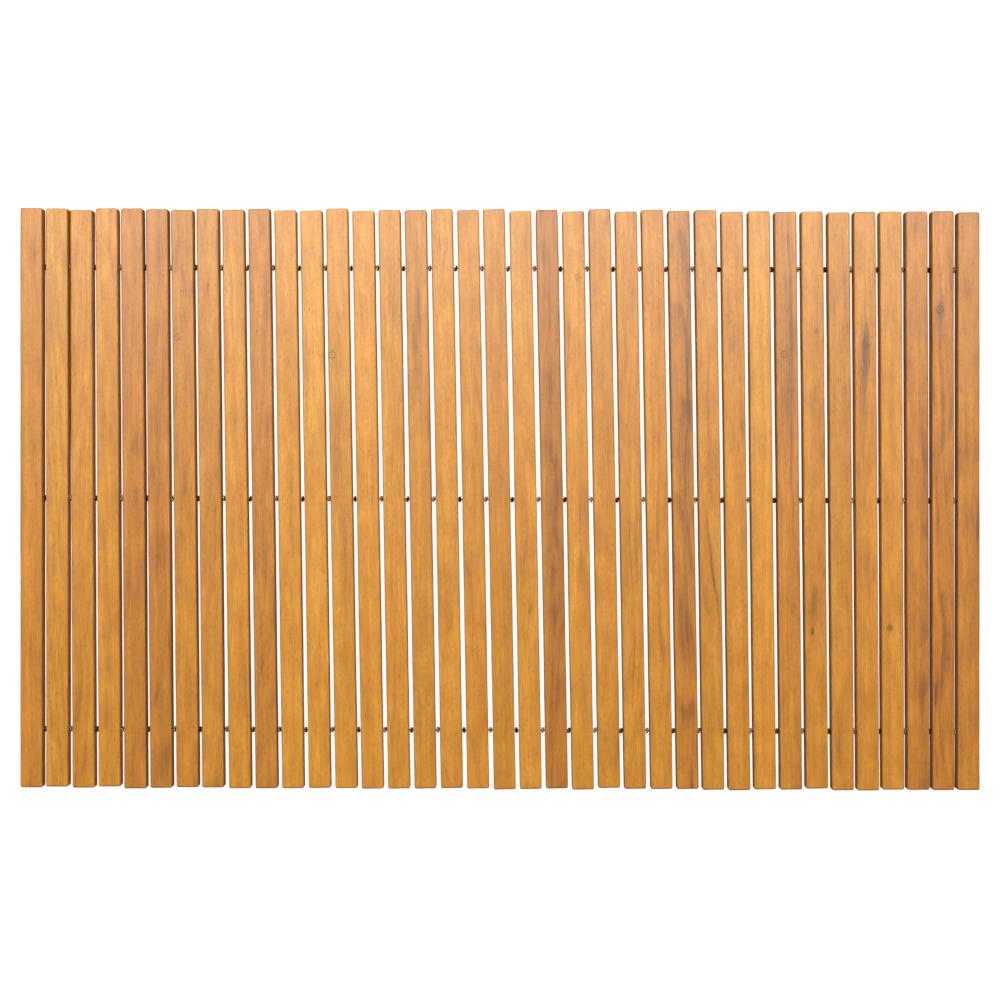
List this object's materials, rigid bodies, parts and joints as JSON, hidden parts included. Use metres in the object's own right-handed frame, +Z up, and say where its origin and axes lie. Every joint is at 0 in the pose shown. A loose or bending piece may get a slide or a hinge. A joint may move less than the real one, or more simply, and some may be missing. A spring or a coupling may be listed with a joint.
{
  "type": "slatted bath mat",
  "caption": "Roll-up wooden bath mat: loose hardwood slats strung side by side on knotted cords.",
  "frame": {"origin": "centre of the underside, on the floor", "axes": "+X along the mat from slat to slat, +Y along the slats, +Z up"},
  "size_m": [0.8288, 0.5026, 0.012],
  "materials": {
    "wood_amber": "oiled amber hardwood, satin",
    "wood_golden": "oiled golden hardwood, satin",
    "wood_brown": "oiled browner hardwood, satin",
    "cord_black": "black braided cord with a pale fleck"
  },
  "bodies": {
    "slat_01": {"slat_01": "wood_amber"},
    "slat_02": {"slat_02": "wood_golden"},
    "slat_03": {"slat_03": "wood_golden"},
    "slat_04": {"slat_04": "wood_golden"},
    "slat_05": {"slat_05": "wood_brown", "cord_front": "cord_black", "cord_middle": "cord_black", "cord_back": "cord_black"},
    "slat_06": {"slat_06": "wood_brown"},
    "slat_07": {"slat_07": "wood_amber"},
    "slat_08": {"slat_08": "wood_amber"},
    "slat_09": {"slat_09": "wood_golden"},
    "slat_10": {"slat_10": "wood_brown"},
    "slat_11": {"slat_11": "wood_golden"},
    "slat_12": {"slat_12": "wood_golden"},
    "slat_13": {"slat_13": "wood_golden"},
    "slat_14": {"slat_14": "wood_golden"},
    "slat_15": {"slat_15": "wood_golden"},
    "slat_16": {"slat_16": "wood_amber"},
    "slat_17": {"slat_17": "wood_golden"},
    "slat_18": {"slat_18": "wood_amber"},
    "slat_19": {"slat_19": "wood_amber"},
    "slat_20": {"slat_20": "wood_golden"},
    "slat_21": {"slat_21": "wood_brown"},
    "slat_22": {"slat_22": "wood_golden"},
    "slat_23": {"slat_23": "wood_amber"},
    "slat_24": {"slat_24": "wood_amber"},
    "slat_25": {"slat_25": "wood_amber"},
    "slat_26": {"slat_26": "wood_brown"},
    "slat_27": {"slat_27": "wood_amber"},
    "slat_28": {"slat_28": "wood_amber"},
    "slat_29": {"slat_29": "wood_golden"},
    "slat_30": {"slat_30": "wood_brown"},
    "slat_31": {"slat_31": "wood_amber"},
    "slat_32": {"slat_32": "wood_amber"},
    "slat_33": {"slat_33": "wood_amber"},
    "slat_34": {"slat_34": "wood_amber"},
    "slat_35": {"slat_35": "wood_brown"},
    "slat_36": {"slat_36": "wood_brown"},
    "slat_37": {"slat_37": "wood_brown"}
  },
  "joints": [
    {"name": "gap_01", "type": "hinge", "parent": "slat_02", "child": "slat_01", "pos_m": [-0.39386, 0.00126, 0.006], "axis": [-0.0008, 1, 0], "range_deg": [0, 17.06]},
    {"name": "gap_02", "type": "hinge", "parent": "slat_03", "child": "slat_02", "pos_m": [-0.37178, 0.00119, 0.006], "axis": [-0.0024, 1, 0], "range_deg": [0, 17.22]},
    {"name": "gap_03", "type": "hinge", "parent": "slat_04", "child": "slat_03", "pos_m": [-0.34969, 0.00112, 0.006], "axis": [-0.004, 1, 0], "range_deg": [0, 17.39]},
    {"name": "gap_04", "type": "hinge", "parent": "slat_05", "child": "slat_04", "pos_m": [-0.32761, 0.00105, 0.006], "axis": [-0.0055, 1, 0], "range_deg": [0, 17.56]},
    {"name": "roll_up", "type": "hinge", "parent": "slat_05", "child": "slat_06", "pos_m": [-0.30552, 0.00098, 0.006], "axis": [0.007, -1, 0], "range_deg": [0, 17.73], "deforming": ["cord_front", "cord_middle", "cord_back"]},
    {"name": "gap_06", "type": "hinge", "parent": "slat_06", "child": "slat_07", "pos_m": [-0.28344, 0.00091, 0.006], "axis": [0.0085, -1, 0], "range_deg": [0, 17.92]},
    {"name": "gap_07", "type": "hinge", "parent": "slat_07", "child": "slat_08", "pos_m": [-0.26136, 0.00084, 0.006], "axis": [0.0098, -1, 0], "range_deg": [0, 18.1]},
    {"name": "gap_08", "type": "hinge", "parent": "slat_08", "child": "slat_09", "pos_m": [-0.23897, 0.00077, 0.006], "axis": [0.0111, -0.9999, 0], "range_deg": [0, 18.8]},
    {"name": "gap_09", "type": "hinge", "parent": "slat_09", "child": "slat_10", "pos_m": [-0.21627, 0.00069, 0.006], "axis": [0.0124, -0.9999, 0], "range_deg": [0, 19.02]},
    {"name": "gap_10", "type": "hinge", "parent": "slat_10", "child": "slat_11", "pos_m": [-0.19357, 0.00062, 0.006], "axis": [0.0135, -0.9999, 0], "range_deg": [0, 19.23]},
    {"name": "gap_11", "type": "hinge", "parent": "slat_11", "child": "slat_12", "pos_m": [-0.17087, 0.00055, 0.006], "axis": [0.0145, -0.9999, 0], "range_deg": [0, 19.46]},
    {"name": "gap_12", "type": "hinge", "parent": "slat_12", "child": "slat_13", "pos_m": [-0.14817, 0.00048, 0.006], "axis": [0.0154, -0.9999, 0], "range_deg": [0, 19.69]},
    {"name": "gap_13", "type": "hinge", "parent": "slat_13", "child": "slat_14", "pos_m": [-0.12547, 0.0004, 0.006], "axis": [0.0162, -0.9999, 0], "range_deg": [0, 19.94]},
    {"name": "gap_14", "type": "hinge", "parent": "slat_14", "child": "slat_15", "pos_m": [-0.10277, 0.00033, 0.006], "axis": [0.0169, -0.9999, 0], "range_deg": [0, 20.19]},
    {"name": "gap_15", "type": "hinge", "parent": "slat_15", "child": "slat_16", "pos_m": [-0.08007, 0.00026, 0.006], "axis": [0.0175, -0.9998, 0], "range_deg": [0, 20.45]},
    {"name": "gap_16", "type": "hinge", "parent": "slat_16", "child": "slat_17", "pos_m": [-0.05737, 0.00018, 0.006], "axis": [0.0179, -0.9998, 0], "range_deg": [0, 20.72]},
    {"name": "gap_17", "type": "hinge", "parent": "slat_17", "child": "slat_18", "pos_m": [-0.03467, 0.00011, 0.006], "axis": [0.0182, -0.9998, 0], "range_deg": [0, 21]},
    {"name": "gap_18", "type": "hinge", "parent": "slat_18", "child": "slat_19", "pos_m": [-0.01197, 0.00004, 0.006], "axis": [0.0183, -0.9998, 0], "range_deg": [0, 21.3]},
    {"name": "gap_19", "type": "hinge", "parent": "slat_19", "child": "slat_20", "pos_m": [0.01073, -0.00003, 0.006], "axis": [0.0183, -0.9998, 0], "range_deg": [0, 21.61]},
    {"name": "gap_20", "type": "hinge", "parent": "slat_20", "child": "slat_21", "pos_m": [0.03343, -0.00011, 0.006], "axis": [0.0182, -0.9998, 0], "range_deg": [0, 21.93]},
    {"name": "gap_21", "type": "hinge", "parent": "slat_21", "child": "slat_22", "pos_m": [0.05613, -0.00018, 0.006], "axis": [0.0179, -0.9998, 0], "range_deg": [0, 22.27]},
    {"name": "gap_22", "type": "hinge", "parent": "slat_22", "child": "slat_23", "pos_m": [0.07883, -0.00025, 0.006], "axis": [0.0175, -0.9998, 0], "range_deg": [0, 22.62]},
    {"name": "gap_23", "type": "hinge", "parent": "slat_23", "child": "slat_24", "pos_m": [0.10153, -0.00033, 0.006], "axis": [0.0169, -0.9999, 0], "range_deg": [0, 22.99]},
    {"name": "gap_24", "type": "hinge", "parent": "slat_24", "child": "slat_25", "pos_m": [0.12423, -0.0004, 0.006], "axis": [0.0162, -0.9999, 0], "range_deg": [0, 23.38]},
    {"name": "gap_25", "type": "hinge", "parent": "slat_25", "child": "slat_26", "pos_m": [0.14693, -0.00047, 0.006], "axis": [0.0154, -0.9999, 0], "range_deg": [0, 23.78]},
    {"name": "gap_26", "type": "hinge", "parent": "slat_26", "child": "slat_27", "pos_m": [0.16963, -0.00054, 0.006], "axis": [0.0145, -0.9999, 0], "range_deg": [0, 24.21]},
    {"name": "gap_27", "type": "hinge", "parent": "slat_27", "child": "slat_28", "pos_m": [0.19233, -0.00062, 0.006], "axis": [0.0135, -0.9999, 0], "range_deg": [0, 24.67]},
    {"name": "gap_28", "type": "hinge", "parent": "slat_28", "child": "slat_29", "pos_m": [0.21503, -0.00069, 0.006], "axis": [0.0124, -0.9999, 0], "range_deg": [0, 25.15]},
    {"name": "gap_29", "type": "hinge", "parent": "slat_29", "child": "slat_30", "pos_m": [0.23773, -0.00076, 0.006], "axis": [0.0111, -0.9999, 0], "range_deg": [0, 25.66]},
    {"name": "gap_30", "type": "hinge", "parent": "slat_30", "child": "slat_31", "pos_m": [0.26043, -0.00084, 0.006], "axis": [0.0098, -1, 0], "range_deg": [0, 26.21]},
    {"name": "gap_31", "type": "hinge", "parent": "slat_31", "child": "slat_32", "pos_m": [0.28313, -0.00091, 0.006], "axis": [0.0085, -1, 0], "range_deg": [0, 26.79]},
    {"name": "gap_32", "type": "hinge", "parent": "slat_32", "child": "slat_33", "pos_m": [0.30552, -0.00098, 0.006], "axis": [0.007, -1, 0], "range_deg": [0, 26.67]},
    {"name": "gap_33", "type": "hinge", "parent": "slat_33", "child": "slat_34", "pos_m": [0.32761, -0.00105, 0.006], "axis": [0.0055, -1, 0], "range_deg": [0, 27.3]},
    {"name": "gap_34", "type": "hinge", "parent": "slat_34", "child": "slat_35", "pos_m": [0.34969, -0.00112, 0.006], "axis": [0.004, -1, 0], "range_deg": [0, 27.98]},
    {"name": "gap_35", "type": "hinge", "parent": "slat_35", "child": "slat_36", "pos_m": [0.37178, -0.00119, 0.006], "axis": [0.0024, -1, 0], "range_deg": [0, 28.71]},
    {"name": "gap_36", "type": "hinge", "parent": "slat_36", "child": "slat_37", "pos_m": [0.39386, -0.00126, 0.006], "axis": [0.0008, -1, 0], "range_deg": [0, 29.5]}
  ],
  "couplings": [
    {"joint": "gap_01", "follows": "roll_up", "ratio": 0.96196},
    {"joint": "gap_02", "follows": "roll_up", "ratio": 0.97106},
    {"joint": "gap_03", "follows": "roll_up", "ratio": 0.98043},
    {"joint": "gap_04", "follows": "roll_up", "ratio": 0.99007},
    {"joint": "gap_06", "follows": "roll_up", "ratio": 1.0102},
    {"joint": "gap_07", "follows": "roll_up", "ratio": 1.0208},
    {"joint": "gap_08", "follows": "roll_up", "ratio": 1.0603},
    {"joint": "gap_09", "follows": "roll_up", "ratio": 1.0722},
    {"joint": "gap_10", "follows": "roll_up", "ratio": 1.0845},
    {"joint": "gap_11", "follows": "roll_up", "ratio": 1.0972},
    {"joint": "gap_12", "follows": "roll_up", "ratio": 1.1104},
    {"joint": "gap_13", "follows": "roll_up", "ratio": 1.1241},
    {"joint": "gap_14", "follows": "roll_up", "ratio": 1.1383},
    {"joint": "gap_15", "follows": "roll_up", "ratio": 1.153},
    {"joint": "gap_16", "follows": "roll_up", "ratio": 1.1684},
    {"joint": "gap_17", "follows": "roll_up", "ratio": 1.1843},
    {"joint": "gap_18", "follows": "roll_up", "ratio": 1.201},
    {"joint": "gap_19", "follows": "roll_up", "ratio": 1.2183},
    {"joint": "gap_20", "follows": "roll_up", "ratio": 1.2365},
    {"joint": "gap_21", "follows": "roll_up", "ratio": 1.2554},
    {"joint": "gap_22", "follows": "roll_up", "ratio": 1.2753},
    {"joint": "gap_23", "follows": "roll_up", "ratio": 1.2961},
    {"joint": "gap_24", "follows": "roll_up", "ratio": 1.318},
    {"joint": "gap_25", "follows": "roll_up", "ratio": 1.3411},
    {"joint": "gap_26", "follows": "roll_up", "ratio": 1.3654},
    {"joint": "gap_27", "follows": "roll_up", "ratio": 1.3911},
    {"joint": "gap_28", "follows": "roll_up", "ratio": 1.4182},
    {"joint": "gap_29", "follows": "roll_up", "ratio": 1.4471},
    {"joint": "gap_30", "follows": "roll_up", "ratio": 1.4778},
    {"joint": "gap_31", "follows": "roll_up", "ratio": 1.5105},
    {"joint": "gap_32", "follows": "roll_up", "ratio": 1.504},
    {"joint": "gap_33", "follows": "roll_up", "ratio": 1.5395},
    {"joint": "gap_34", "follows": "roll_up", "ratio": 1.5777},
    {"joint": "gap_35", "follows": "roll_up", "ratio": 1.6189},
    {"joint": "gap_36", "follows": "roll_up", "ratio": 1.6634}
  ]
}
